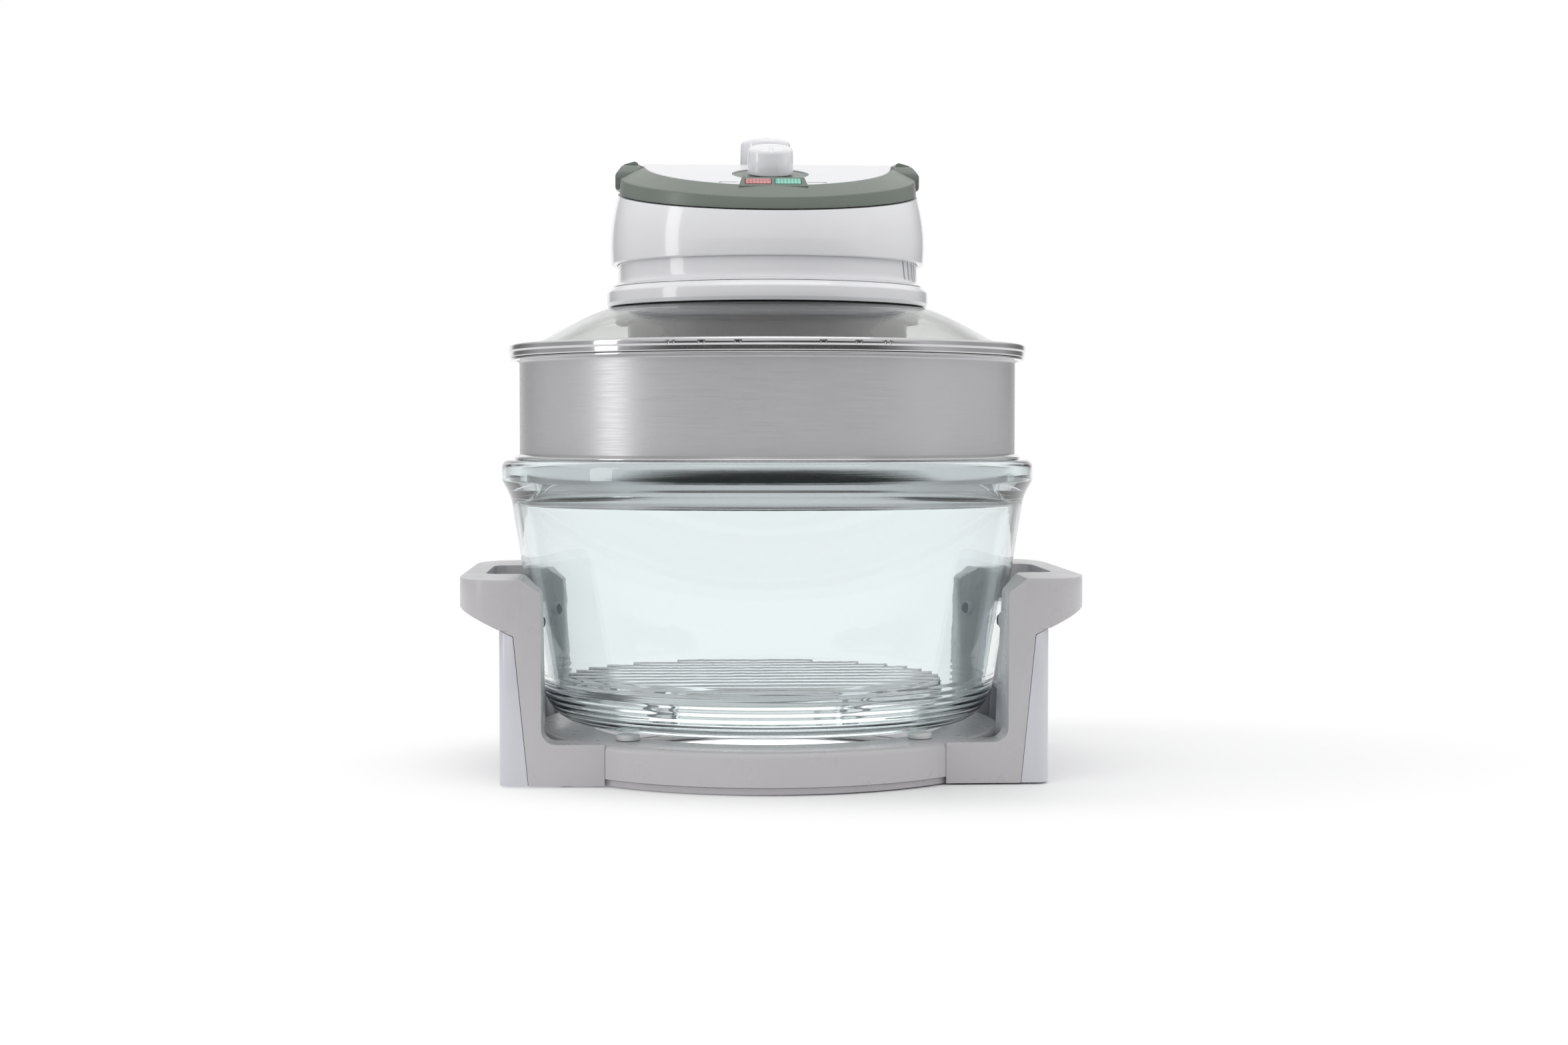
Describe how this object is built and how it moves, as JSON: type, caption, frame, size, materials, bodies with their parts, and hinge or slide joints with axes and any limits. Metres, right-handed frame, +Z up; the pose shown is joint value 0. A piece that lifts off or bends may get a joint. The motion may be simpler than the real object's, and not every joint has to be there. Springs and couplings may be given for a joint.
{
  "type": "glass-bowl convection oven",
  "caption": "Countertop convection oven: a glass bowl in a plastic stand, a steel extension ring, and a glass lid carrying a round control head with a folding handle.",
  "frame": {"origin": "on the floor under the bowl's axis, midway between the outer faces", "axes": "+Z up, the front with the indicator lenses faces -Y, +X to the right seen from the front"},
  "size_m": [0.372, 0.33, 0.3917],
  "materials": {
    "stand_plastic": "milky grey-white moulded plastic",
    "cover_plastic": "glossy pale grey moulded plastic",
    "grey_plastic": "satin green-grey moulded plastic",
    "black_plastic": "black moulded plastic",
    "white_plastic": "glossy white moulded ABS",
    "tempered_glass": "clear tempered glass with a faint green tint",
    "quartz_glass": "quartz lamp tube",
    "stainless_steel": "satin stainless sheet",
    "zinc_steel": "zinc-plated steel",
    "chrome_steel": "chromed steel wire and sheet",
    "dark_enamel": "dark enamelled sheet",
    "rubber": "dark grey rubber",
    "silicone": "milky silicone",
    "ceramic": "unglazed ceramic",
    "red_lens": "translucent red lens",
    "green_lens": "translucent green lens"
  },
  "bodies": {
    "stand": {"stand_base": "stand_plastic", "base_bottom_ring": "grey_plastic", "stand_screw_1": "zinc_steel", "stand_screw_2": "zinc_steel", "stand_screw_3": "zinc_steel", "stand_screw_4": "zinc_steel", "right_side_frame": "stand_plastic", "left_side_frame": "stand_plastic", "right_side_cover": "cover_plastic", "left_side_cover": "cover_plastic", "rubber_foot_1": "rubber", "rubber_foot_2": "rubber", "rubber_foot_3": "rubber", "rubber_foot_4": "rubber", "bowl_pad_1": "silicone", "bowl_pad_2": "silicone", "bowl_pad_3": "silicone", "bowl_pad_4": "silicone", "bowl_bumper_1": "rubber", "bowl_bumper_2": "rubber", "bowl_bumper_3": "rubber", "bowl_bumper_4": "rubber"},
    "bowl": {"glass_bowl": "tempered_glass"},
    "rack": {"wire_rack": "chrome_steel"},
    "ring": {"extension_ring": "stainless_steel"},
    "lid": {"lid_band": "stainless_steel", "glass_lid": "tempered_glass", "lid_gasket": "black_plastic", "heat_shield": "dark_enamel", "heater_guard": "stainless_steel", "reflector": "chrome_steel", "halogen_lamp": "quartz_glass", "lamp_holder_front": "ceramic", "lamp_holder_rear": "ceramic", "heater_grille": "chrome_steel", "clamp_screw_1": "zinc_steel", "clamp_screw_2": "zinc_steel", "clamp_screw_3": "zinc_steel", "collar": "white_plastic", "lower_housing": "white_plastic", "upper_housing": "white_plastic", "cord_grommet": "black_plastic", "front_trim": "grey_plastic", "red_lens": "red_lens", "green_lens": "green_lens", "control_panel": "white_plastic", "front_dial": "grey_plastic", "rear_dial": "grey_plastic", "thermostat_unit": "black_plastic", "timer_unit": "black_plastic", "safety_switch": "black_plastic", "motor_bracket": "zinc_steel", "fan_motor": "dark_enamel"},
    "thermostat": {"thermostat_knob": "white_plastic"},
    "timer": {"timer_knob": "white_plastic"},
    "handle": {"carrying_handle": "grey_plastic"},
    "plunger": {"switch_plunger": "white_plastic"},
    "fan": {"motor_shaft": "zinc_steel", "fan_blade": "zinc_steel", "cooling_fan": "black_plastic"}
  },
  "joints": [
    {"name": "bowl_lift", "type": "slide", "parent": "stand", "child": "bowl", "axis": [0, 0, 1], "range_m": [0, 0.12]},
    {"name": "rack_lift", "type": "slide", "parent": "bowl", "child": "rack", "axis": [0, 0, 1], "range_m": [0, 0.17]},
    {"name": "ring_lift", "type": "slide", "parent": "bowl", "child": "ring", "axis": [0, 0, 1], "range_m": [0, 0.09]},
    {"name": "lid_lift", "type": "slide", "parent": "ring", "child": "lid", "axis": [0, 0, 1], "range_m": [0, 0.12]},
    {"name": "handle_swing", "type": "hinge", "parent": "lid", "child": "handle", "pos_m": [0, 0.003, 0.364], "axis": [1, 0, 0], "range_deg": [0, 95]},
    {"name": "switch_travel", "type": "slide", "parent": "lid", "child": "plunger", "axis": [0, 0, 1], "range_m": [0, 0.002]},
    {"name": "thermostat_turn", "type": "hinge", "parent": "lid", "child": "thermostat", "pos_m": [0, -0.038, 0.3631], "axis": [0, -0.2516, 0.9678], "range_deg": [-270, 0]},
    {"name": "timer_turn", "type": "hinge", "parent": "lid", "child": "timer", "pos_m": [0, 0.025, 0.373], "axis": [0, 0, 1], "range_deg": [-300, 0]},
    {"name": "fan_spin", "type": "hinge", "parent": "lid", "child": "fan", "pos_m": [0, 0, 0.27], "axis": [0, 0, 1], "continuous": true}
  ],
  "couplings": [
    {"joint": "switch_travel", "follows": "handle_swing", "m_per_rad": 0.0012}
  ]
}
